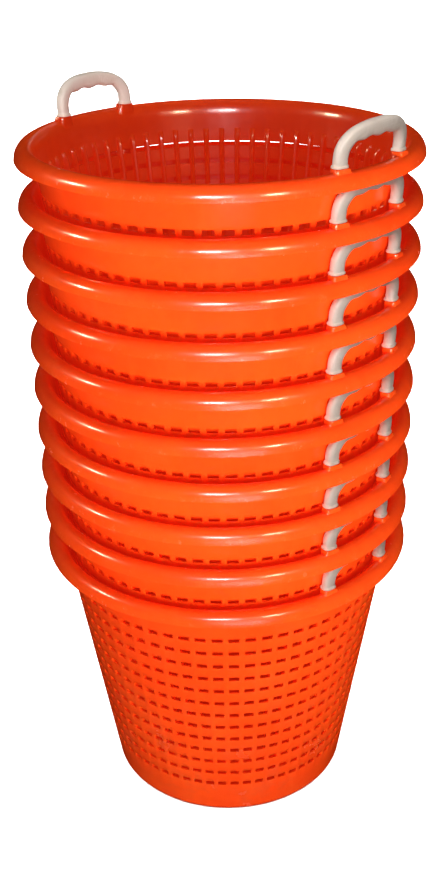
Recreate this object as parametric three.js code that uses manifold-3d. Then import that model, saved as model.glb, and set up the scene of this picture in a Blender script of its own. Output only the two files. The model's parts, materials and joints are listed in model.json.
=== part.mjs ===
// Stack of ten nested round plastic baskets, each carrying two clip-in grip handles.
// Millimetres, +Z up. The origin is the centre of the bottom basket's foot, on the floor.
// The handles lie on +X and -X.
import * as THREE from 'three';
import { mergeVertices } from 'three/addons/utils/BufferGeometryUtils.js';
import Module from 'manifold-3d';

const wasm = await Module();
wasm.setup();

// ---- Driving dimensions -------------------------------------------------------------

const BASKET_COUNT = 10;
const STACK_PITCH = 59.2; // height that each nested basket adds
const ROUND_SEGMENTS = 24; // a multiple of four keeps a corner on each axis
const GAP = 0.3; // clearance between pieces that touch

// Wall: a cone that stands for the slotted sheet and the ribs inside it together.
const RIM_LEVEL = 367.5; // height of the rim's widest circle above the foot
const WALL_TOP_RADIUS = 226.7; // outer radius of the wall at the rim level
const WALL_SLOPE = 0.159; // radius gained per millimetre of height
const BAND_THICKNESS = 3.2; // smooth band between the rim and the ribs
const RIBBED_THICKNESS = 8.9; // sheet and ribs together
const RIB_TOP = 348; // height where the inner ribs begin
const RIB_TOP_RUNOUT = 13; // height of the sloped start of the ribs

// Floor and foot ring.
const FOOT_INNER_RADIUS = 154;
const FOOT_OUTER_RADIUS = 166;
const FOOT_RECESS = 3;
const FOOT_CHAMFER = 2;
const FLOOR_THICKNESS = 4;

// Rim: a rolled cap, hollow underneath.
const RIM_OUTER_RADIUS = 250;
const RIM_CROWN_RADIUS = 236;
const RIM_HEIGHT = 18; // crown above the rim level
const LIP_THICKNESS = 2.6;
const CAP_THICKNESS = 3;
const CAP_INNER_SEGMENTS = 4;
const DOME_SEGMENTS = 3; // on each side of the crown

// Bosses on the rim that carry the handles.
const BOSS_TOP = 22; // above the rim level
const BOSS_UNDERSIDE = 9.5;
const BOSS_INNER_RADIUS = 226;
const BOSS_OUTER_RADIUS = 241;
const BOSS_WIDTH = 21;

// Handle: a D-shaped grip that follows the rim's circle and leans out with the wall.
const LEG_CENTRE = 54.5; // half the distance between the two legs' centres
const HANDLE_TOP = 69; // above the rim level
const LEG_WIDTH = 16.5; // along the rim
const GRIP_SWELL = 3; // extra depth of the grip, under its middle
const GRIP_SWELL_SPAN = 40; // half the length of the deeper part
const GRIP_MIDDLE_FALL = 15; // about the fall of the grip's centre line over that span
const HANDLE_THICKNESS = 13; // radial
const HANDLE_EDGE = 3.6; // flat cut along each long edge of the grip
const HANDLE_FOOT_RADIUS = 231.6;
const HANDLE_LEAN = 0.09; // radius gained per millimetre of height
const SHOULDER_START = 30; // height where the legs begin to bend into the grip
const SHOULDER_POWER = 2.5; // squareness of the shoulders
const HANDLE_PATH_LENGTH = 170; // nearly the length of the centre line, to share out its points
const HANDLE_STEPS = 14;

// Clip peg under each leg.
const PEG_RADIUS_IN_PLAN = 234.8; // distance of the peg from the basket's axis
const PEG_WIDTH = 8;
const PEG_DEPTH = 7;
const BARB_WIDTH = 11;
const BARB_SHOULDER = BOSS_UNDERSIDE - GAP;
const BARB_TIP = 2.5;
const BARB_TIP_WIDTH = 5;
const PEG_OVERLAP = 4; // how far the peg runs up into the leg

const ORANGE = 0xe8481a;
const OFF_WHITE = 0xe4dccf;

// ---- Helpers ------------------------------------------------------------------------

const LEG_ANGLE = LEG_CENTRE / HANDLE_FOOT_RADIUS;

function wallRadius(height) {
  return WALL_TOP_RADIUS + WALL_SLOPE * (height - RIM_LEVEL);
}

/** Points of an elliptical arc in the (radius, height) plane. */
function arc(centre, radii, fromAngle, toAngle, segments) {
  const points = [];
  for (let i = 0; i <= segments; i += 1) {
    const angle = fromAngle + ((toAngle - fromAngle) * i) / segments;
    points.push([centre[0] + radii[0] * Math.cos(angle), centre[1] + radii[1] * Math.sin(angle)]);
  }
  return points;
}

function toManifold(geometry) {
  const bare = geometry.clone();
  bare.deleteAttribute('normal');
  bare.deleteAttribute('uv');
  const welded = mergeVertices(bare, 1e-4);
  return new wasm.Manifold(new wasm.Mesh({
    numProp: 3,
    vertProperties: new Float32Array(welded.attributes.position.array),
    triVerts: new Uint32Array(welded.index.array),
  }));
}

function toGeometry(solid) {
  const mesh = solid.getMesh();
  const geometry = new THREE.BufferGeometry();
  geometry.setAttribute('position', new THREE.BufferAttribute(new Float32Array(mesh.vertProperties), 3));
  geometry.setIndex(new THREE.BufferAttribute(new Uint32Array(mesh.triVerts), 1));
  geometry.computeVertexNormals();
  return geometry;
}

/** A flat outline in the (x, z) plane, extruded along Y about y = 0. */
function extrudedOutline(points, depth) {
  const shape = new THREE.Shape(points.map(([x, z]) => new THREE.Vector2(x, z)));
  const geometry = new THREE.ExtrudeGeometry(shape, { depth, bevelEnabled: false, steps: 1 });
  geometry.translate(0, 0, -depth / 2);
  geometry.rotateX(Math.PI / 2);
  return geometry;
}

// ---- Basket shell -------------------------------------------------------------------

function shellProfile() {
  const floorTop = FOOT_RECESS + FLOOR_THICKNESS;
  const ribFoot = RIB_TOP - RIB_TOP_RUNOUT;
  const lipInner = RIM_OUTER_RADIUS - LIP_THICKNESS;
  const capInner = arc(
    [(WALL_TOP_RADIUS + lipInner) / 2, RIM_LEVEL],
    [(lipInner - WALL_TOP_RADIUS) / 2, RIM_HEIGHT - CAP_THICKNESS],
    Math.PI, 0, CAP_INNER_SEGMENTS,
  );
  const domeOuter = arc(
    [RIM_CROWN_RADIUS, RIM_LEVEL],
    [RIM_OUTER_RADIUS - RIM_CROWN_RADIUS, RIM_HEIGHT],
    0, Math.PI / 2, DOME_SEGMENTS,
  );
  const innerEdge = WALL_TOP_RADIUS - BAND_THICKNESS;
  const domeInner = arc(
    [RIM_CROWN_RADIUS, RIM_LEVEL],
    [RIM_CROWN_RADIUS - innerEdge, RIM_HEIGHT],
    Math.PI / 2, Math.PI, DOME_SEGMENTS,
  );
  return [
    [0, FOOT_RECESS],
    [FOOT_INNER_RADIUS, FOOT_RECESS],
    [FOOT_INNER_RADIUS + FOOT_CHAMFER, 0],
    [FOOT_OUTER_RADIUS, 0],
    [wallRadius(FOOT_RECESS), FOOT_RECESS],
    ...capInner,
    ...domeOuter,
    ...domeInner.slice(1),
    [wallRadius(RIB_TOP) - BAND_THICKNESS, RIB_TOP],
    [wallRadius(ribFoot) - RIBBED_THICKNESS, ribFoot],
    [wallRadius(floorTop) - RIBBED_THICKNESS, floorTop],
    [0, floorTop],
  ];
}

/** A boss seen in the (radius, height) plane, extruded across the rim and turned into place. */
function bossGeometry(angle) {
  const top = RIM_LEVEL + BOSS_TOP;
  const underside = RIM_LEVEL + BOSS_UNDERSIDE;
  const geometry = extrudedOutline([
    [BOSS_INNER_RADIUS, underside],
    [BOSS_OUTER_RADIUS, underside],
    [BOSS_OUTER_RADIUS, top],
    [BOSS_INNER_RADIUS, top],
  ], BOSS_WIDTH);
  geometry.rotateZ(angle);
  return geometry;
}

function pegHoleGeometry(angle) {
  const height = BOSS_TOP - BOSS_UNDERSIDE + 2;
  const geometry = new THREE.BoxGeometry(PEG_DEPTH + 2 * GAP, PEG_WIDTH + 2 * GAP, height);
  geometry.translate(PEG_RADIUS_IN_PLAN, 0, RIM_LEVEL + (BOSS_TOP + BOSS_UNDERSIDE) / 2);
  geometry.rotateZ(angle);
  return geometry;
}

function shellGeometry() {
  const profile = shellProfile().map(([radius, height]) => new THREE.Vector2(radius, height));
  const lathe = new THREE.LatheGeometry(profile, ROUND_SEGMENTS);
  lathe.rotateX(Math.PI / 2);
  let solid = toManifold(lathe);
  const legAngles = [LEG_ANGLE, -LEG_ANGLE, Math.PI + LEG_ANGLE, Math.PI - LEG_ANGLE];
  for (const angle of legAngles) {
    solid = solid.add(toManifold(bossGeometry(angle)));
  }
  for (const angle of legAngles) {
    solid = solid.subtract(toManifold(pegHoleGeometry(angle)));
  }
  return toGeometry(solid);
}

// ---- Grip handle --------------------------------------------------------------------

/** Centre line of a handle, flat in the (x, z) plane, from the right foot to the left foot. */
class HandlePath extends THREE.Curve {
  getPoint(t, target = new THREE.Vector3()) {
    const foot = BOSS_TOP + GAP;
    const legShare = (SHOULDER_START - foot) / HANDLE_PATH_LENGTH;
    const side = t < 0.5 ? 1 : -1;
    const fromFoot = t < 0.5 ? t : 1 - t;
    if (fromFoot < legShare) {
      const height = foot + (SHOULDER_START - foot) * (fromFoot / legShare);
      return target.set(side * LEG_CENTRE, 0, height);
    }
    const angle = ((fromFoot - legShare) / (0.5 - legShare)) * (Math.PI / 2);
    const across = Math.max(Math.cos(angle), 0) ** (2 / SHOULDER_POWER);
    const up = Math.sin(angle) ** (2 / SHOULDER_POWER);
    const rise = HANDLE_TOP - LEG_WIDTH / 2 - SHOULDER_START;
    return target.set(side * LEG_CENTRE * across, 0, SHOULDER_START + rise * up);
  }
}

/** Lowers the underside of the grip, most of all at its middle. */
function swellGrip(geometry) {
  const position = geometry.attributes.position;
  for (let i = 0; i < position.count; i += 1) {
    const along = Math.min(Math.abs(position.getX(i)) / GRIP_SWELL_SPAN, 1);
    const middle = HANDLE_TOP - LEG_WIDTH / 2 - along * along * GRIP_MIDDLE_FALL;
    if (along < 1 && position.getZ(i) < middle) {
      position.setZ(i, position.getZ(i) - GRIP_SWELL * (1 - along * along));
    }
  }
  return geometry;
}

/** Cross-section of a handle: x points outward from the basket, y across the grip. */
function handleSection() {
  const x = HANDLE_THICKNESS / 2;
  const y = LEG_WIDTH / 2;
  const cut = HANDLE_EDGE;
  const quarter = [[x, y - cut], [x - cut, y]];
  return new THREE.Shape([
    ...quarter,
    ...quarter.map(([u, v]) => [-u, v]).reverse(),
    ...quarter.map(([u, v]) => [-u, -v]),
    ...quarter.map(([u, v]) => [u, -v]).reverse(),
  ].map(([u, v]) => new THREE.Vector2(u, v)));
}

/** Wraps a flat handle (x across, y outward, z up) around the rim at +X. */
function wrapAroundRim(geometry) {
  const position = geometry.attributes.position;
  for (let i = 0; i < position.count; i += 1) {
    const angle = -position.getX(i) / HANDLE_FOOT_RADIUS;
    const height = position.getZ(i);
    const radius = HANDLE_FOOT_RADIUS + HANDLE_LEAN * (height - BOSS_TOP) + position.getY(i);
    position.setXYZ(i, radius * Math.cos(angle), radius * Math.sin(angle), height + RIM_LEVEL);
  }
  return geometry;
}

function pegGeometry(angle) {
  const top = RIM_LEVEL + BOSS_TOP + PEG_OVERLAP;
  const shoulder = RIM_LEVEL + BARB_SHOULDER;
  const tip = RIM_LEVEL + BARB_TIP;
  const geometry = extrudedOutline([
    [-BARB_TIP_WIDTH / 2, tip],
    [BARB_TIP_WIDTH / 2, tip],
    [BARB_WIDTH / 2, shoulder],
    [PEG_WIDTH / 2, shoulder],
    [PEG_WIDTH / 2, top],
    [-PEG_WIDTH / 2, top],
    [-PEG_WIDTH / 2, shoulder],
    [-BARB_WIDTH / 2, shoulder],
  ], PEG_DEPTH);
  geometry.rotateZ(Math.PI / 2);
  geometry.translate(PEG_RADIUS_IN_PLAN, 0, 0);
  geometry.rotateZ(angle);
  return geometry;
}

function handleGeometry() {
  const grip = new THREE.ExtrudeGeometry(handleSection(), {
    steps: HANDLE_STEPS,
    extrudePath: new HandlePath(),
    bevelEnabled: false,
  });
  let solid = toManifold(wrapAroundRim(swellGrip(grip)));
  for (const angle of [LEG_ANGLE, -LEG_ANGLE]) {
    solid = solid.add(toManifold(pegGeometry(angle)));
  }
  return toGeometry(solid);
}

// ---- Stack --------------------------------------------------------------------------

const stack = new THREE.Group();
const shell = shellGeometry();
const handle = handleGeometry();

function addPiece(parent, name, geometry, color, roughness, turn) {
  const material = new THREE.MeshStandardMaterial({ color, roughness, metalness: 0 });
  const mesh = new THREE.Mesh(geometry, material);
  mesh.name = name;
  mesh.rotation.z = turn;
  parent.add(mesh);
}

for (let level = 0; level < BASKET_COUNT; level += 1) {
  const label = `basket_${String(level + 1).padStart(2, '0')}`;
  const basket = new THREE.Group();
  basket.position.z = level * STACK_PITCH;
  addPiece(basket, `${label}_shell`, shell, ORANGE, 0.3, 0);
  addPiece(basket, `${label}_right_handle`, handle, OFF_WHITE, 0.45, 0);
  addPiece(basket, `${label}_left_handle`, handle, OFF_WHITE, 0.45, Math.PI);
  stack.add(basket);
}

export default stack;
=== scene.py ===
import json
import math

import bmesh
import bpy
import numpy as np
from mathutils import Matrix, Vector

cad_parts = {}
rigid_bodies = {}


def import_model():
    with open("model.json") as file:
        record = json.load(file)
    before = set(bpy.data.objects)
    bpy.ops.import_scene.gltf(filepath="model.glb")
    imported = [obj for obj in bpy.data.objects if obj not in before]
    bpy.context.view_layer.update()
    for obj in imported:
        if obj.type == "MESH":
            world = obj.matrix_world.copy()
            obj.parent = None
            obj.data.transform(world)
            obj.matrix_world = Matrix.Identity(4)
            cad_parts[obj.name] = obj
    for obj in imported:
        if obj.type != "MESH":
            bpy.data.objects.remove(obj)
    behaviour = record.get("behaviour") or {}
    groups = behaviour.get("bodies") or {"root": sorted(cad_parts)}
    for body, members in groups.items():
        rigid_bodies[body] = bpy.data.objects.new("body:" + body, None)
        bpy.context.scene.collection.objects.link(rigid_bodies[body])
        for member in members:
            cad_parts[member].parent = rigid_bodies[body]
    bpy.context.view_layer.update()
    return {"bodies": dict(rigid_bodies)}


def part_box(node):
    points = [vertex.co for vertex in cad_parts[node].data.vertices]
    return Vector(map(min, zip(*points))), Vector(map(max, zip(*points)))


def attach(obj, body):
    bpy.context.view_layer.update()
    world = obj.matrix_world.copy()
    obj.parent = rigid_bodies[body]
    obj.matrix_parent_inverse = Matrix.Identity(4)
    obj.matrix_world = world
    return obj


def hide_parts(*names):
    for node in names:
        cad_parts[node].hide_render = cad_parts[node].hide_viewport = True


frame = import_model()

# Ten nested round plastic baskets, each with two clip-in grip handles. Metres, +Z up.
# The camera stands at azimuth 43 degrees, so the +X handles show at the front right.

# ---- Measures taken from the frame ----------------------------------------------------

BODIES = sorted(frame["bodies"])


def shell_node(body):
    return f"{body}_shell"


def base_height(body):
    """Height of a basket's foot above the floor."""
    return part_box(shell_node(body))[0].z


FIRST = BODIES[0]
RIM_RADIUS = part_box(shell_node(FIRST))[1].x
HANDLE_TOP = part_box(f"{FIRST}_right_handle")[1].z

# ---- Measures of one basket (metres above its own foot) -------------------------------

MM = 0.001
RIM_LEVEL = 367.5 * MM
WALL_TOP_RADIUS = 226.7 * MM
WALL_SLOPE = 0.159
WALL_THICKNESS = 2.8 * MM
RIB_DEPTH = 5.4 * MM  # further in, on the bars between the slots
RIB_TOP = 348 * MM
RIB_RUNOUT = 13 * MM
FLOOR_TOP = 7 * MM
FLOOR_UNDERSIDE = 3 * MM
FLOOR_RADIUS = 150 * MM

COLUMNS = 64  # slots round the wall
SLOT_SHARE = 0.65  # of a column's width
SLOT_ROWS = 13
SLOT_HEIGHT = 6.5 * MM
SLOT_PITCH = 22.87 * MM
FIRST_SLOT = RIM_LEVEL - 39.3 * MM  # middle of the top row
EDGE_ROUNDING = 0.6 * MM
EDGE_STEP = 1.2 * MM

RIM_CROWN_RADIUS = 236 * MM
RIM_HEIGHT = 18 * MM
LIP_THICKNESS = 2.6 * MM
CAP_THICKNESS = 3 * MM
LIP_ROUNDING = 1 * MM
# The rim's inner side is an elliptical arc that runs into the sloping wall without a crease.
INNER_CENTRE = RIM_LEVEL - 8 * MM
INNER_RISE = RIM_LEVEL + RIM_HEIGHT - INNER_CENTRE
CROWN_TO_WALL = (
    RIM_CROWN_RADIUS - (WALL_TOP_RADIUS - WALL_THICKNESS) + WALL_SLOPE * (RIM_LEVEL - INNER_CENTRE))
INNER_HALF_WIDTH = math.sqrt(CROWN_TO_WALL**2 - (WALL_SLOPE * INNER_RISE) ** 2)
INNER_TANGENT = WALL_SLOPE * INNER_RISE**2 / CROWN_TO_WALL  # where they meet, above the centre

BOSS_TOP = RIM_LEVEL + 22 * MM
BOSS_INNER, BOSS_OUTER = 226 * MM, 240.6 * MM
BOSS_HALF_WIDTH = 10.2 * MM
LEG_CENTRE = 54.5 * MM
HANDLE_FOOT_RADIUS = 231.6 * MM
HANDLE_LEAN = 0.09
GRIP_HEIGHT = 16.5 * MM
GRIP_THICKNESS = 13 * MM
GRIP_SWELL = 3 * MM  # extra depth of the grip, under its middle
GRIP_SWELL_SPAN = 40 * MM
SHOULDER_START = RIM_LEVEL + 30 * MM
SHOULDER_POWER = 2.5
HANDLE_FOOT = BOSS_TOP + 0.3 * MM


def wall_radius(height):
    return WALL_TOP_RADIUS + WALL_SLOPE * (height - RIM_LEVEL)


# ---- Mesh helpers ---------------------------------------------------------------------

WELD_DISTANCE = 1e-6


class MeshBuilder:
    """Collects rings of points and the faces between them."""

    def __init__(self):
        self.points = []
        self.faces = []

    def add_points(self, points):
        first = len(self.points)
        self.points.extend(points)
        return list(range(first, len(self.points)))

    def join_rings(self, lower, upper):
        """Faces between two closed rings of the same size, facing right of the way up."""
        n = len(lower)
        for i in range(n):
            j = (i + 1) % n
            self.faces.append((lower[i], lower[j], upper[j], upper[i]))

    def to_mesh(self, name, smooth_angle):
        mesh = bpy.data.meshes.new(name)
        mesh.from_pydata(self.points, [], self.faces)
        work = bmesh.new()
        work.from_mesh(mesh)
        bmesh.ops.remove_doubles(work, verts=work.verts, dist=WELD_DISTANCE)
        bmesh.ops.recalc_face_normals(work, faces=work.faces)
        work.to_mesh(mesh)
        work.free()
        mesh.shade_smooth()
        mesh.set_sharp_from_angle(angle=math.radians(smooth_angle))
        return mesh


def polar(radius, angle, height):
    return (radius * math.cos(angle), radius * math.sin(angle), height)


def arc(centre, radii, start, end, steps):
    """Points of an elliptical arc in the (radius, height) plane."""
    angles = np.linspace(math.radians(start), math.radians(end), steps + 1)
    return [
        (centre[0] + radii[0] * math.cos(a), centre[1] + radii[1] * math.sin(a)) for a in angles
    ]


# ---- Basket wall ----------------------------------------------------------------------

RIB_STEPS = (-1.0, -0.62, 0.0, 0.62)  # across a rib, which ends at 1.0
RIB_START_STEPS = (0.9, 0.65, 0.4, 0.2, 0.07, 0.0)  # shares of the run-out below a rib's top


def wall_columns():
    """Each narrow column's angle, its share of the rib's depth, and whether a rib fills it."""
    pitch = 2 * math.pi / COLUMNS
    rib_half = (1 - SLOT_SHARE) * pitch / 2
    angles, shares, is_rib = [], [], []
    for column in range(COLUMNS):
        middle = (column + 0.5) * pitch
        for u in RIB_STEPS:
            angles.append(middle + u * rib_half)
            shares.append(math.sqrt(1 - u * u))
            is_rib.append(True)
        angles.append(middle + rib_half)
        shares.append(0.0)
        is_rib.append(False)
    return angles, shares, is_rib


def wall_rows():
    """Each row's height from the foot up, whether slots start there, and their edge rounding."""
    rows = [(FLOOR_UNDERSIDE, False, 0.0), (FLOOR_TOP, False, 0.0)]
    lowest = FIRST_SLOT - (SLOT_ROWS - 1) * SLOT_PITCH
    rows.append(((FLOOR_TOP + lowest) / 2, False, 0.0))
    for row in range(SLOT_ROWS):
        bottom = lowest + row * SLOT_PITCH - SLOT_HEIGHT / 2
        top = bottom + SLOT_HEIGHT
        rows.append((bottom - EDGE_STEP, False, 0.0))
        rows.append((bottom, True, EDGE_ROUNDING))
        rows.append((top, False, EDGE_ROUNDING))
        rows.append((top + EDGE_STEP, False, 0.0))
    rows.extend((RIB_TOP - RIB_RUNOUT * share, False, 0.0) for share in RIB_START_STEPS)
    rows.append((RIM_LEVEL, False, 0.0))
    return rows


def rib_share(height):
    """How far the ribs stand out at a height: none above their tops, rounded as they start."""
    if height >= RIB_TOP or height < FLOOR_TOP:
        return 0.0
    start = min((RIB_TOP - height) / RIB_RUNOUT, 1.0)
    return math.sqrt(1 - (1 - start) ** 2)


def slot_sides(builder, outer, inner, j, i, k):
    """The four edges of the sheet round one slot, between rows j and j + 1."""
    up = j + 1
    builder.faces.append((outer[j][i], outer[j][k], inner[j][k], inner[j][i]))
    builder.faces.append((outer[up][k], outer[up][i], inner[up][i], inner[up][k]))
    builder.faces.append((outer[up][i], outer[j][i], inner[j][i], inner[up][i]))
    builder.faces.append((outer[j][k], outer[up][k], inner[up][k], inner[j][k]))


def basket_wall(builder):
    """The slotted sheet and the ribs inside it, with the rim and foot ring."""
    angles, shares, is_rib = wall_columns()
    rows = wall_rows()
    n = len(angles)
    outer, middle, inner = [], [], []
    for height, _, rounding in rows:
        radius = wall_radius(height)
        sheet_inner = radius - WALL_THICKNESS
        depth = RIB_DEPTH * rib_share(height)
        outer.append(builder.add_points(
            [polar(radius - rounding * (1 - s), a, height) for a, s in zip(angles, shares)]))
        middle.append(builder.add_points([polar(sheet_inner, a, height) for a in angles]))
        inner.append(builder.add_points(
            [polar(sheet_inner - depth * s, a, height) for a, s in zip(angles, shares)]))
    for j in range(len(rows) - 1):
        for i in range(n):
            k = (i + 1) % n
            inside = inner if is_rib[i] else middle
            if rows[j][1] and not is_rib[i]:
                slot_sides(builder, outer, middle, j, i, k)
                continue
            builder.faces.append((outer[j][i], outer[j][k], outer[j + 1][k], outer[j + 1][i]))
            builder.faces.append(
                (inside[j][k], inside[j][i], inside[j + 1][i], inside[j + 1][k]))
    rim_and_foot(builder, angles, outer, middle)


def rim_and_foot(builder, angles, outer, middle):
    """The rolled rim above the wall, and the foot ring under it, on the wall's own columns."""
    lip_inner = RIM_RADIUS - LIP_THICKNESS
    underside = arc(
        ((WALL_TOP_RADIUS + lip_inner) / 2, RIM_LEVEL),
        ((lip_inner - WALL_TOP_RADIUS) / 2, RIM_HEIGHT - CAP_THICKNESS), 180, 0, 10)
    lip = arc((RIM_RADIUS - LIP_THICKNESS / 2, RIM_LEVEL + LIP_ROUNDING),
              (LIP_THICKNESS / 2, LIP_ROUNDING), 210, 360, 4)
    above_lip = math.degrees(math.asin(LIP_ROUNDING / RIM_HEIGHT)) + 1
    dome_out = arc((RIM_CROWN_RADIUS, RIM_LEVEL),
                   (RIM_RADIUS - RIM_CROWN_RADIUS, RIM_HEIGHT), above_lip, 90, 9)
    dome_in = arc((RIM_CROWN_RADIUS, INNER_CENTRE), (INNER_HALF_WIDTH, INNER_RISE),
                  90, 180 - math.degrees(math.asin(INNER_TANGENT / INNER_RISE)), 10)
    ring = outer[-1]
    for radius, height in underside[1:] + lip + dome_out + dome_in[1:]:
        following = builder.add_points([polar(radius, a, height) for a in angles])
        builder.join_rings(ring, following)
        ring = following
    builder.join_rings(ring, middle[-1])
    ring = outer[0]
    foot = [(167 * MM, 0.8 * MM), (165.5 * MM, 0.0), (156 * MM, 0.0), (154.5 * MM, 1 * MM),
            (154 * MM, FLOOR_UNDERSIDE), (FLOOR_RADIUS, FLOOR_UNDERSIDE),
            (FLOOR_RADIUS, FLOOR_TOP)]
    for radius, height in foot:
        following = builder.add_points([polar(radius, a, height) for a in angles])
        builder.join_rings(following, ring)
        ring = following
    builder.join_rings(middle[1], ring)


# ---- Basket floor ---------------------------------------------------------------------

FLOOR_SECTORS = 48
FLOOR_HUB = 34 * MM
FLOOR_RING_PITCH = 19.5 * MM
FLOOR_SLOT_DEPTH = 12 * MM
FLOOR_SLOT_SHARE = 0.55
FLOOR_SLOTS_END = 108 * MM  # the floor is closed from here out


def floor_radii():
    """Radii of the floor's rings from the hub out, and whether a ring of slots starts there."""
    radii = [(FLOOR_HUB, False)]
    radius = FLOOR_HUB + FLOOR_RING_PITCH - FLOOR_SLOT_DEPTH
    while radius + FLOOR_SLOT_DEPTH < FLOOR_SLOTS_END:
        radii.append((radius, True))
        radii.append((radius + FLOOR_SLOT_DEPTH, False))
        radius += FLOOR_RING_PITCH
    radii.append((FLOOR_RADIUS + 1 * MM, False))
    return radii


def basket_floor(builder):
    """A slab with rings of slots, solid round the hub and near the wall."""
    sector = 2 * math.pi / FLOOR_SECTORS
    angles = [i * sector + s for i in range(FLOOR_SECTORS) for s in (0, FLOOR_SLOT_SHARE * sector)]
    radii = floor_radii()
    low, high = FLOOR_UNDERSIDE + 0.2 * MM, FLOOR_TOP - 0.2 * MM
    under = [builder.add_points([polar(r, a, low) for a in angles]) for r, _ in radii]
    over = [builder.add_points([polar(r, a, high) for a in angles]) for r, _ in radii]
    n = len(angles)
    for j in range(len(radii) - 1):
        slotted = radii[j][1]
        for i in range(n):
            k = (i + 1) % n
            if slotted and i % 2 == 0:
                builder.faces.append((under[j][i], over[j][i], over[j + 1][i], under[j + 1][i]))
                builder.faces.append((under[j][k], under[j + 1][k], over[j + 1][k], over[j][k]))
                builder.faces.append((under[j][i], under[j][k], over[j][k], over[j][i]))
                builder.faces.append(
                    (under[j + 1][k], under[j + 1][i], over[j + 1][i], over[j + 1][k]))
                continue
            builder.faces.append((under[j][k], under[j][i], under[j + 1][i], under[j + 1][k]))
            builder.faces.append((over[j][i], over[j][k], over[j + 1][k], over[j + 1][i]))
    builder.join_rings(under[-1], over[-1])
    hub_low = builder.add_points([(0, 0, low)])[0]
    hub_high = builder.add_points([(0, 0, high)])[0]
    for i in range(n):
        k = (i + 1) % n
        builder.faces.append((hub_low, under[0][k], under[0][i]))
        builder.faces.append((hub_high, over[0][i], over[0][k]))


# ---- Bosses ---------------------------------------------------------------------------


def rim_surface(radius):
    """Height of the rim's top surface at a radius."""
    centre, half, rise = RIM_LEVEL, RIM_RADIUS - RIM_CROWN_RADIUS, RIM_HEIGHT
    if radius < RIM_CROWN_RADIUS:
        centre, half, rise = INNER_CENTRE, INNER_HALF_WIDTH, INNER_RISE
    share = min(abs(radius - RIM_CROWN_RADIUS) / half, 1.0)
    return centre + rise * math.sqrt(1 - share * share)


def rounded_outline(half_x, half_y, corner, steps=5):
    """Points of a rectangle with round corners, counter-clockwise."""
    points = []
    for quarter in range(4):
        sign_x = 1 if quarter in (0, 3) else -1
        sign_y = 1 if quarter in (0, 1) else -1
        for a in np.linspace(quarter * 90, quarter * 90 + 90, steps + 1):
            points.append((sign_x * (half_x - corner) + corner * math.cos(math.radians(a)),
                           sign_y * (half_y - corner) + corner * math.sin(math.radians(a))))
    return points


BOSS_LAYERS = (  # how far each layer stands out, and its height above the rim's surface
    (2.6 * MM, -0.8 * MM),
    (1.2 * MM, 0.3 * MM),
    (0.3 * MM, 1.4 * MM),
)


def boss(builder, angle):
    """A raised pad with a soft top edge and a fillet where it runs into the rim."""
    middle = (BOSS_INNER + BOSS_OUTER) / 2
    half = (BOSS_OUTER - BOSS_INNER) / 2
    rings = []
    for grow, lift in BOSS_LAYERS:
        outline = rounded_outline(half + min(grow, 0.4 * MM), BOSS_HALF_WIDTH + grow, 3.5 * MM)
        points = []
        for x, y in outline:
            radius = math.hypot(middle + x, y)
            points.append((middle + x, y, min(rim_surface(radius) + lift, BOSS_TOP - 1.4 * MM)))
        rings.append(points)
    for shrink, drop in ((0.0, 1.0 * MM), (0.35 * MM, 0.3 * MM), (1.1 * MM, 0.0)):
        outline = rounded_outline(half - shrink, BOSS_HALF_WIDTH - shrink, 3.5 * MM)
        rings.append([(middle + x, y, BOSS_TOP - drop) for x, y in outline])
    turn = Matrix.Rotation(angle, 3, "Z")
    indices = [builder.add_points([tuple(turn @ Vector(p)) for p in ring]) for ring in rings]
    for lower, upper in zip(indices, indices[1:]):
        builder.join_rings(lower, upper)
    builder.faces.append(tuple(indices[-1]))
    builder.faces.append(tuple(reversed(indices[0])))


# ---- Grip handle ----------------------------------------------------------------------

HANDLE_STEPS = 72
LINE_NUDGE = 1e-4  # along the centre line, to find which way it runs
SECTION_POINTS = 20
SECTION_POWER = 0.72  # 1 gives an ellipse, and less gives flatter sides
LEG_SHARE = 0.1  # of the centre line from a foot to the middle, before it bends
FINGER_GROOVES = 4
GROOVE_DEPTH = 2.2 * MM
GROOVE_REST = 0.35  # share of a groove's depth that stands out as the ridges between
FOOT_PLATE = 2.4 * MM  # height of the plate under each leg
FOOT_MARGIN = 1.3 * MM


def handle_centre_line(t):
    """Centre line, flat in the (across, height) plane, from the right foot (0) to the left (1)."""
    side = 1 if t < 0.5 else -1
    from_foot = min(t, 1 - t) * 2
    if from_foot < LEG_SHARE:
        height = HANDLE_FOOT + (SHOULDER_START - HANDLE_FOOT) * from_foot / LEG_SHARE
        return side * LEG_CENTRE, height
    angle = (from_foot - LEG_SHARE) / (1 - LEG_SHARE) * math.pi / 2
    across = max(math.cos(angle), 0.0) ** (2 / SHOULDER_POWER)
    up = math.sin(angle) ** (2 / SHOULDER_POWER)
    rise = HANDLE_TOP - GRIP_HEIGHT / 2 - SHOULDER_START
    return side * LEG_CENTRE * across, SHOULDER_START + rise * up


def even_line(steps):
    """The centre line's points at even distances, with the way it runs at each."""
    fine = np.array([handle_centre_line(t) for t in np.linspace(0, 1, 2001)])
    run = np.concatenate([[0], np.cumsum(np.hypot(*np.diff(fine, axis=0).T))])
    foot_marks = np.array([0, FOOT_PLATE * 0.75, FOOT_PLATE, FOOT_PLATE + 0.8 * MM])
    marks = np.concatenate([
        foot_marks, np.linspace(FOOT_PLATE * 2.2, run[-1] - FOOT_PLATE * 2.2, steps),
        run[-1] - foot_marks[::-1]])
    line = np.stack([np.interp(marks, run, fine[:, c]) for c in (0, 1)], axis=1)
    ahead = np.stack([np.interp(marks + LINE_NUDGE, run, fine[:, c]) for c in (0, 1)], axis=1)
    behind = np.stack([np.interp(marks - LINE_NUDGE, run, fine[:, c]) for c in (0, 1)], axis=1)
    way = ahead - behind
    way /= np.hypot(way[:, 0], way[:, 1])[:, None]
    return line, way, marks, run[-1]


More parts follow.
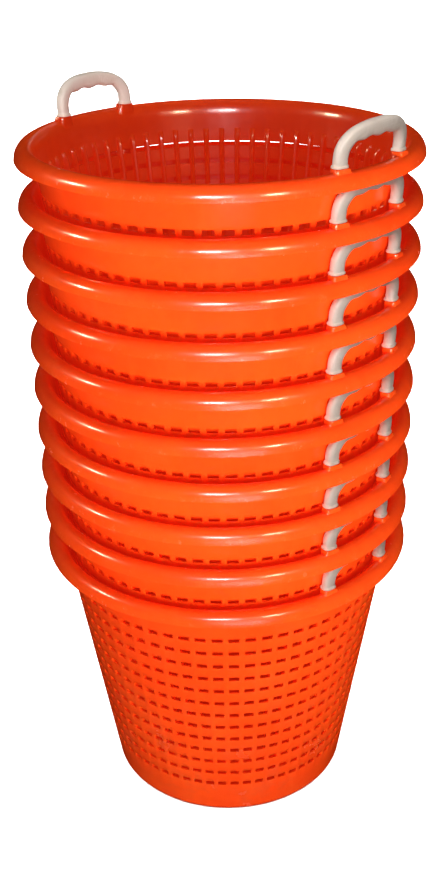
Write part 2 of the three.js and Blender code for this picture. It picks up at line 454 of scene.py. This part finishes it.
def section_growth(mark, length):
    """How far the section stands out: the foot plate, its round edge, then the plain leg."""
    from_foot = min(mark, length - mark)
    if from_foot <= FOOT_PLATE * 0.8:
        return FOOT_MARGIN
    if from_foot <= FOOT_PLATE * 1.05:
        return FOOT_MARGIN * 0.7
    return 0.0


def handle_mesh():
    builder = MeshBuilder()
    line, way, marks, length = even_line(HANDLE_STEPS)
    rings = []
    for (across, height), (along_x, along_z), mark in zip(line, way, marks):
        grow = section_growth(mark, length)
        half_out = GRIP_THICKNESS / 2 + grow
        half_in = GRIP_HEIGHT / 2 + grow
        along_grip = across / (2 * LEG_CENTRE) + 0.5
        ripple = 0.5 - 0.5 * math.cos(2 * math.pi * FINGER_GROOVES * along_grip)
        level = abs(along_x) ** 1.5
        swell = GRIP_SWELL * max(1 - (across / GRIP_SWELL_SPAN) ** 2, 0.0)
        ring = []
        for k in range(SECTION_POINTS):
            a = 2 * math.pi * k / SECTION_POINTS
            out = half_out * math.copysign(abs(math.cos(a)) ** SECTION_POWER, math.cos(a))
            up = half_in * math.copysign(abs(math.sin(a)) ** SECTION_POWER, math.sin(a))
            if up < 0:
                depth = GROOVE_DEPTH * (ripple - GROOVE_REST) * level - swell
                up += depth * abs(math.sin(a)) ** 0.8
            flat_x = across + along_z * up
            flat_z = height - along_x * up
            if along_x > 0:
                flat_x, flat_z = across - along_z * up, height + along_x * up
            ring.append((flat_x, flat_z, out))
        rings.append(ring)
    return builder, rings


def wrap_handle(builder, rings):
    """Wraps flat rings (across, height, outward) round the rim at +X and closes both ends."""
    indices = []
    for ring in rings:
        points = []
        for across, height, out in ring:
            radius = HANDLE_FOOT_RADIUS + HANDLE_LEAN * (height - BOSS_TOP) + out
            points.append(polar(radius, -across / HANDLE_FOOT_RADIUS, height))
        indices.append(builder.add_points(points))
    for lower, upper in zip(indices, indices[1:]):
        builder.join_rings(lower, upper)
    builder.faces.append(tuple(indices[0]))
    builder.faces.append(tuple(indices[-1]))


PEG_RADIUS = 234.8 * MM  # distance of the peg from the basket's axis
PEG_HALF_DEPTH = 3.4 * MM
PEG_SECTIONS = (  # height above the rim level, and half the peg's width, from the leg down
    (24 * MM, 3.9 * MM),
    (9.3 * MM, 3.9 * MM),
    (9.1 * MM, 5.4 * MM),
    (8.2 * MM, 5.4 * MM),
    (3.2 * MM, 2.8 * MM),
    (2.6 * MM, 2.2 * MM),
)


def clip_peg(builder, angle):
    """A barbed peg that holds the handle under the rim's boss."""
    turn = Matrix.Rotation(angle, 3, "Z")
    indices = []
    for height, half_width in PEG_SECTIONS:
        outline = rounded_outline(PEG_HALF_DEPTH, half_width, 0.8 * MM, 2)
        points = [turn @ Vector((PEG_RADIUS + x, y, RIM_LEVEL + height)) for x, y in outline]
        indices.append(builder.add_points([tuple(p) for p in points]))
    for upper, lower in zip(indices, indices[1:]):
        builder.join_rings(lower, upper)
    builder.faces.append(tuple(indices[0]))
    builder.faces.append(tuple(reversed(indices[-1])))


# ---- Camera ---------------------------------------------------------------------------

VIEW_AZIMUTH = math.radians(43)
CAMERA_DISTANCE = 1.470  # from the stack's axis
CAMERA_ABOVE_RIM = 0.331
CAMERA_PITCH = 0.459
CAMERA_YAW = -0.007
CAMERA_ROLL = -0.0198
CAMERA_LENS = 49.0
STAGE_RADIUS = 60  # leaves room for the camera when every basket is lifted


def make_camera():
    camera = bpy.data.objects.new("camera", bpy.data.cameras.new("camera"))
    bpy.context.scene.collection.objects.link(camera)
    camera.data.lens = CAMERA_LENS
    camera.data.sensor_width = 36
    camera.data.clip_end = 4 * STAGE_RADIUS
    forward = Vector((math.sin(CAMERA_YAW) * math.cos(CAMERA_PITCH),
                      math.cos(CAMERA_YAW) * math.cos(CAMERA_PITCH), -math.sin(CAMERA_PITCH)))
    level = Vector((math.cos(CAMERA_YAW), -math.sin(CAMERA_YAW), 0))
    upward = level.cross(forward)
    right = math.cos(CAMERA_ROLL) * level + math.sin(CAMERA_ROLL) * upward
    up = right.cross(forward)
    turn = Matrix((right, up, -forward)).transposed().to_4x4()
    top_rim = base_height(BODIES[-1]) + RIM_LEVEL
    place = Matrix.Translation((0, -CAMERA_DISTANCE, top_rim + CAMERA_ABOVE_RIM))
    camera.matrix_world = Matrix.Rotation(VIEW_AZIMUTH, 4, "Z") @ place @ turn
    bpy.context.scene.camera = camera


# ---- Materials ------------------------------------------------------------------------


PATTERN_SHIFT = 9.0  # the most, along each axis, that a piece's pattern is moved


class Painter:
    """Adds nodes to a new material's tree, beside its Principled shader."""

    def __init__(self, name):
        self.material = bpy.data.materials.new(name)
        self.material.use_nodes = True
        self.tree = self.material.node_tree
        self.shader = self.tree.nodes["Principled BSDF"]

    def add(self, kind, **inputs):
        node = self.tree.nodes.new(kind)
        for key, value in inputs.items():
            self.feed(node.inputs[key.replace("_", " ")], value)
        return node

    def feed(self, socket, value):
        if isinstance(value, bpy.types.NodeSocket):
            self.tree.links.new(value, socket)
        else:
            socket.default_value = value

    def math(self, operation, first, second=0.0, third=0.0, clamp=False):
        node = self.tree.nodes.new("ShaderNodeMath")
        node.operation = operation
        node.use_clamp = clamp
        for socket, value in zip(node.inputs, (first, second, third)):
            self.feed(socket, value)
        return node.outputs[0]

    def place(self, stretch=(1, 1, 1), turn=(0, 0, 0)):
        """Object coordinates, shifted by the object's own random number."""
        random = self.add("ShaderNodeObjectInfo").outputs["Random"]
        own = self.math("MULTIPLY", random, PATTERN_SHIFT)
        shifted = self.tree.nodes.new("ShaderNodeVectorMath")
        shifted.operation = "ADD"
        self.feed(shifted.inputs[0], self.add("ShaderNodeTexCoord").outputs["Object"])
        self.feed(shifted.inputs[1], own)
        node = self.add(
            "ShaderNodeMapping", Vector=shifted.outputs[0], Scale=stretch, Rotation=turn)
        return node.outputs[0]

    def noise(self, where, scale, detail=3.0, rough=0.55):
        node = self.add(
            "ShaderNodeTexNoise", Vector=where, Scale=scale, Detail=detail, Roughness=rough)
        return node.outputs[0]

    def ramp(self, value, low, high, to_low=0.0, to_high=1.0):
        node = self.add("ShaderNodeMapRange")
        node.interpolation_type = "SMOOTHSTEP"
        for socket, number in zip(node.inputs, (value, low, high, to_low, to_high)):
            self.feed(socket, number)
        return node.outputs[0]

    def mix(self, share, first, second):
        node = self.tree.nodes.new("ShaderNodeMix")
        node.data_type = "RGBA"
        colour_sockets = node.inputs[6:8]
        for socket, value in zip((node.inputs[0], *colour_sockets), (share, first, second)):
            self.feed(socket, value)
        return node.outputs[2]

    def bump(self, height, strength, distance, normal=None):
        node = self.add("ShaderNodeBump", Height=height, Strength=strength, Distance=distance)
        if normal is not None:
            self.feed(node.inputs["Normal"], normal)
        return node.outputs[0]

    def polar_place(self):
        """Distance from the object's axis, and height above its foot."""
        place = self.add("ShaderNodeTexCoord").outputs["Object"]
        split = self.add("ShaderNodeSeparateXYZ", Vector=place)
        x, y, z = split.outputs
        squares = self.math("ADD", self.math("MULTIPLY", x, x), self.math("MULTIPLY", y, y))
        return self.math("SQRT", squares), z


SCUFF_WIDTH = 0.035  # in the noise's own value, on each side of its middle


def scuffs(paint):
    """Fine scratches in three directions, worn in patches."""
    lines = 0.0
    for turn, stretch in ((0.3, (1, 1, 26)), (1.4, (30, 2, 2)), (2.3, (2, 24, 3))):
        where = paint.place(stretch, (turn, turn * 0.7, turn * 1.9))
        centred = paint.math("ABSOLUTE", paint.math("SUBTRACT", paint.noise(where, 9.0, 2.0), 0.5))
        line = paint.ramp(centred, 0.0, SCUFF_WIDTH, 1.0, 0.0)
        lines = paint.math("MAXIMUM", lines, line)
    patches = paint.ramp(paint.noise(paint.place(), 11.0), 0.52, 0.7)
    return paint.math("MULTIPLY", lines, patches)


def orange_plastic():
    """Glossy moulded polyethylene with dusty specks, stronger lower down as painted shade, and
    rubbed paler round the rim.

    The weak steady glow stands in for light that comes through the thin wall.
    """
    paint = Painter("orange_plastic")
    radius, height = paint.polar_place()
    clouds = paint.noise(paint.place(), 5.0)
    mottle = paint.noise(paint.place(), 70.0, 4.0)
    flow = paint.noise(paint.place((1, 1, 0.12)), 38.0)
    colour = paint.mix(
        paint.ramp(clouds, 0.3, 0.7), (0.92, 0.057, 0.004, 1), (0.97, 0.078, 0.006, 1))
    colour = paint.mix(paint.ramp(mottle, 0.45, 0.75, 0.0, 0.22), colour, (0.84, 0.045, 0.003, 1))
    colour = paint.mix(paint.ramp(flow, 0.5, 0.8, 0.0, 0.25), colour, (1.0, 0.10, 0.012, 1))

    # Dusty specks, stronger lower down in each basket: that darkening towards the foot is painted
    # shade.
    raised = paint.ramp(height, 0.02, 0.35)
    specks = paint.ramp(paint.noise(paint.place(), 24.0, 5.0), 0.5, 0.72, 0.0, 0.2)
    dust_and_low_shade = paint.math("MULTIPLY", specks, paint.math("SUBTRACT", 1.15, raised))
    colour = paint.mix(dust_and_low_shade, colour, (0.42, 0.075, 0.03, 1))

    outermost = paint.ramp(radius, RIM_RADIUS - 3.5 * MM, RIM_RADIUS - 0.4 * MM)
    crown = paint.ramp(height, RIM_LEVEL + RIM_HEIGHT - 2.5 * MM, RIM_LEVEL + RIM_HEIGHT + 1 * MM)
    rubbed = paint.math("MAXIMUM", outermost, crown)
    patches = paint.ramp(paint.noise(paint.place(), 95.0, 6.0, 0.7), 0.52, 0.72)
    worn = paint.math("MULTIPLY", paint.math("MULTIPLY", rubbed, patches), 0.3)
    scratched = scuffs(paint)
    wear = paint.math("MAXIMUM", worn, paint.math("MULTIPLY", scratched, 0.06))
    colour = paint.mix(wear, colour, (1.0, 0.17, 0.05, 1))
    paint.feed(paint.shader.inputs["Base Color"], colour)

    rough = paint.ramp(paint.noise(paint.place(), 16.0, 4.0), 0.3, 0.7, 0.17, 0.24)
    rough = paint.math("ADD", rough, paint.math("MULTIPLY", paint.math("MAXIMUM", wear, dust_and_low_shade), 0.3))
    paint.feed(paint.shader.inputs["Roughness"], rough)

    wavy = paint.bump(paint.noise(paint.place(), 22.0, 1.0), 0.1, 0.2 * MM)
    peel = paint.bump(paint.noise(paint.place(), 700.0, 2.0), 0.06, 0.12 * MM, wavy)
    paint.feed(paint.shader.inputs["Normal"], paint.bump(scratched, 0.1, -0.05 * MM, peel))
    paint.shader.inputs["IOR"].default_value = 1.5
    paint.shader.inputs["Emission Color"].default_value = (1, 0.05, 0.01, 1)
    paint.shader.inputs["Emission Strength"].default_value = 0.08
    paint.shader.inputs["Subsurface Weight"].default_value = 0.08
    paint.shader.inputs["Subsurface Radius"].default_value = (1.0, 0.12, 0.03)
    paint.shader.inputs["Subsurface Scale"].default_value = 6 * MM
    return paint.material


def off_white_plastic():
    """Satin moulded plastic with a fine grain, a parting line and grey marks from hands."""
    paint = Painter("off_white_plastic")
    radius, height = paint.polar_place()
    clouds = paint.noise(paint.place(), 14.0)
    speckle = paint.noise(paint.place(), 160.0, 4.0)
    colour = paint.mix(paint.ramp(clouds, 0.3, 0.7), (0.62, 0.55, 0.49, 1), (0.67, 0.61, 0.56, 1))
    colour = paint.mix(paint.ramp(speckle, 0.5, 0.8, 0.0, 0.3), colour, (0.59, 0.52, 0.45, 1))
    marks = paint.ramp(paint.noise(paint.place(), 42.0, 6.0, 0.65), 0.52, 0.74, 0.0, 0.45)
    colour = paint.mix(marks, colour, (0.46, 0.41, 0.36, 1))
    # Painted orange light, bounced from the boss onto the foot of each leg.
    painted_boss_bounce = paint.ramp(height, BOSS_TOP, BOSS_TOP + 5 * MM, 0.5, 0.0)
    colour = paint.mix(painted_boss_bounce, colour, (0.72, 0.40, 0.28, 1))
    scratched = scuffs(paint)
    colour = paint.mix(paint.math("MULTIPLY", scratched, 0.3), colour, (0.86, 0.83, 0.78, 1))
    paint.feed(paint.shader.inputs["Base Color"], colour)

    rough = paint.ramp(paint.noise(paint.place(), 30.0, 4.0), 0.3, 0.7, 0.38, 0.5)
    rough = paint.math("ADD", rough, paint.math("MULTIPLY", marks, 0.25))
    paint.feed(paint.shader.inputs["Roughness"], rough)

    middle = paint.math(
        "MULTIPLY_ADD", height, HANDLE_LEAN, HANDLE_FOOT_RADIUS - HANDLE_LEAN * BOSS_TOP)
    from_parting = paint.math("ABSOLUTE", paint.math("SUBTRACT", radius, middle))
    parting = paint.ramp(from_parting, 0.1 * MM, 0.6 * MM, 1.0, 0.0)
    grain = paint.bump(paint.noise(paint.place(), 520.0, 3.0), 0.3, 0.25 * MM)
    line = paint.bump(parting, 0.6, 0.25 * MM, grain)
    paint.feed(paint.shader.inputs["Normal"], paint.bump(scratched, 0.3, -0.1 * MM, line))
    paint.shader.inputs["IOR"].default_value = 1.46
    paint.shader.inputs["Subsurface Weight"].default_value = 0.08
    paint.shader.inputs["Subsurface Radius"].default_value = (1.0, 0.7, 0.5)
    paint.shader.inputs["Subsurface Scale"].default_value = 3 * MM
    return paint.material


# ---- Pieces ---------------------------------------------------------------------------


def shell_mesh():
    builder = MeshBuilder()
    basket_wall(builder)
    basket_floor(builder)
    leg_angle = LEG_CENTRE / HANDLE_FOOT_RADIUS
    for angle in (leg_angle, -leg_angle, math.pi + leg_angle, math.pi - leg_angle):
        boss(builder, angle)
    return builder.to_mesh("basket_shell", 38)


def add_piece(name, mesh, body, node, turn=0.0):
    piece = bpy.data.objects.new(name, mesh)
    bpy.context.scene.collection.objects.link(piece)
    lift = Matrix.Translation((0, 0, base_height(body)))
    piece.matrix_world = lift @ Matrix.Rotation(turn, 4, "Z")
    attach(piece, body)
    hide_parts(node)


def make_stack():
    shell = shell_mesh()
    shell.materials.append(orange_plastic())
    builder, rings = handle_mesh()
    wrap_handle(builder, rings)
    for angle in (LEG_CENTRE / HANDLE_FOOT_RADIUS, -LEG_CENTRE / HANDLE_FOOT_RADIUS):
        clip_peg(builder, angle)
    handle = builder.to_mesh("grip_handle", 50)
    handle.materials.append(off_white_plastic())
    for body in BODIES:
        add_piece(f"{body}_lattice_shell", shell, body, shell_node(body))
        add_piece(f"{body}_right_grip", handle, body, f"{body}_right_handle")
        add_piece(f"{body}_left_grip", handle, body, f"{body}_left_handle",
                  math.pi)


# ---- Stage ----------------------------------------------------------------------------

FLOOR_DROP = 0.5 * MM  # keeps the floor clear of the foot ring
FLOOR_GLOW_REACH = (0.6, 3.5)  # distances from the stack between which the glow grows
FLOOR_GLOW = (0.05, 0.96)
BACKDROP_LIFTS = np.linspace(-0.05, 0.95, 9) * math.pi / 2  # angles up the dome, in radians


def stage_object(name, mesh):
    """A stage surface that the camera sees, and that doesn't colour the object."""
    thing = bpy.data.objects.new(name, mesh)
    bpy.context.scene.collection.objects.link(thing)
    thing.visible_diffuse = False
    thing.visible_glossy = False
    return thing


def make_floor():
    """A pale floor that glows further out, where the floor's own light doesn't reach."""
    mesh = bpy.data.meshes.new("floor")
    half = STAGE_RADIUS
    corners = [(-half, -half, 0), (half, -half, 0), (half, half, 0), (-half, half, 0)]
    mesh.from_pydata(corners, [], [(0, 1, 2, 3)])
    paint = Painter("pale_floor")
    paint.shader.inputs["Base Color"].default_value = (0.75, 0.75, 0.75, 1)
    from_stack = paint.polar_place()[0]
    glow = paint.ramp(from_stack, *FLOOR_GLOW_REACH, *FLOOR_GLOW)
    paint.feed(paint.shader.inputs["Emission Strength"], glow)
    paint.shader.inputs["Emission Color"].default_value = (1, 1, 1, 1)
    paint.shader.inputs["Roughness"].default_value = 0.8
    paint.shader.inputs["Specular IOR Level"].default_value = 0.1
    mesh.materials.append(paint.material)
    stage_object("floor", mesh).location.z = -FLOOR_DROP


def make_backdrop():
    """A pale dome far behind everything."""
    builder = MeshBuilder()
    turns = np.linspace(0, 2 * math.pi, 48, endpoint=False)
    rings = []
    for lift in BACKDROP_LIFTS:
        radius, height = STAGE_RADIUS * math.cos(lift), STAGE_RADIUS * math.sin(lift)
        rings.append(builder.add_points([polar(radius, a, height) for a in turns]))
    for lower, upper in zip(rings, rings[1:]):
        builder.join_rings(lower, upper)
    builder.faces.append(tuple(rings[-1]))
    mesh = builder.to_mesh("backdrop", 60)
    paint = Painter("pale_backdrop")
    paint.shader.inputs["Base Color"].default_value = (0, 0, 0, 1)
    paint.shader.inputs["Specular IOR Level"].default_value = 0
    paint.shader.inputs["Emission Color"].default_value = (1, 1, 1, 1)
    paint.shader.inputs["Emission Strength"].default_value = 0.95
    mesh.materials.append(paint.material)
    backdrop = stage_object("backdrop", mesh)
    backdrop.visible_shadow = False


def add_light(name, azimuth, height, distance, size, power, colour, aim=0.75):
    """An area light. Azimuth is counted from the camera's, and aim is a height on the axis."""
    lamp = bpy.data.lights.new(name, "AREA")
    lamp.size = size
    lamp.energy = power
    lamp.color = colour
    light = bpy.data.objects.new(name, lamp)
    bpy.context.scene.collection.objects.link(light)
    a = VIEW_AZIMUTH + math.radians(azimuth)
    light.location = (distance * math.sin(a), -distance * math.cos(a), height)
    light.rotation_mode = "QUATERNION"
    light.rotation_quaternion = (Vector((0, 0, aim)) - light.location).to_track_quat("-Z", "Y")
    return light


GLOSS_LAMP_DISTANCE = 1.9
GLOSS_LAMP_HEIGHT = 1.62
GLOSS_LAMP_DEPTH = 0.09


def gloss_lamp(name, azimuth, width, power, colour):
    """A narrow level lamp that gives a highlight and leaves the shading alone."""
    light = add_light(
        name, azimuth, GLOSS_LAMP_HEIGHT, GLOSS_LAMP_DISTANCE, width, power, colour)
    light.data.shape = "RECTANGLE"
    light.data.size_y = GLOSS_LAMP_DEPTH
    light.visible_diffuse = False


def light_only(light, ending):
    """Lets a soft light fall on the pieces whose names have one ending, and on nothing else."""
    receivers = bpy.data.collections.new(f"{light.name}_receivers")
    for thing in bpy.context.scene.objects:
        if thing.name.endswith(ending):
            receivers.objects.link(thing)
    light.light_linking.receiver_collection = receivers
    light.visible_glossy = False


def light_floor():
    """A wide light overhead that falls on the floor alone, so that it stays pale."""
    light = add_light(
        "floor_light", azimuth=0, height=6, distance=0.01, size=9, power=3200, colour=(1, 1, 1))
    light_only(light, "floor")


WARM = (1, 0.80, 0.52)
PINKISH = (1, 0.93, 0.93)
SOFT_WHITE = (1, 0.97, 0.93)


def make_lights():
    """Narrow lamps for the highlights, and broad ones that give none for the shading."""
    world = bpy.data.worlds.new("studio")
    bpy.context.scene.world = world
    world.use_nodes = True
    world.node_tree.nodes["Background"].inputs["Color"].default_value = (1, 0.86, 0.76, 1)
    world.node_tree.nodes["Background"].inputs["Strength"].default_value = 0.27
    world.cycles_visibility.glossy = False
    gloss_lamp("front_lamp", azimuth=-4, width=0.40, power=26, colour=PINKISH)
    gloss_lamp("right_lamp", azimuth=28, width=0.26, power=18, colour=WARM)
    gloss_lamp("left_lamp", azimuth=-84, width=0.26, power=22, colour=WARM)
    top = add_light(
        "top_light", azimuth=0, height=6.5, distance=1.0, size=3.2, power=72, colour=(1, 0.95, 0.9))
    top.visible_glossy = False
    front = add_light(
        "low_front_light", azimuth=8, height=0.6, distance=2.0, size=0.9, power=17,
        colour=(1, 0.98, 0.95), aim=1.0)
    front.data.spread = math.radians(90)
    light_only(front, "_lattice_shell")
    grips = add_light(
        "grip_light", azimuth=-8, height=1.6, distance=1.9, size=1.0, power=41, colour=SOFT_WHITE)
    light_only(grips, "_grip")
    back = add_light(
        "low_back_light", azimuth=190, height=0.5, distance=2.4, size=1.6, power=34,
        colour=SOFT_WHITE, aim=0.6)
    back.visible_glossy = False


bpy.context.scene.view_settings.view_transform = "Standard"
make_camera()
make_stack()
make_floor()
light_floor()
make_backdrop()
make_lights()
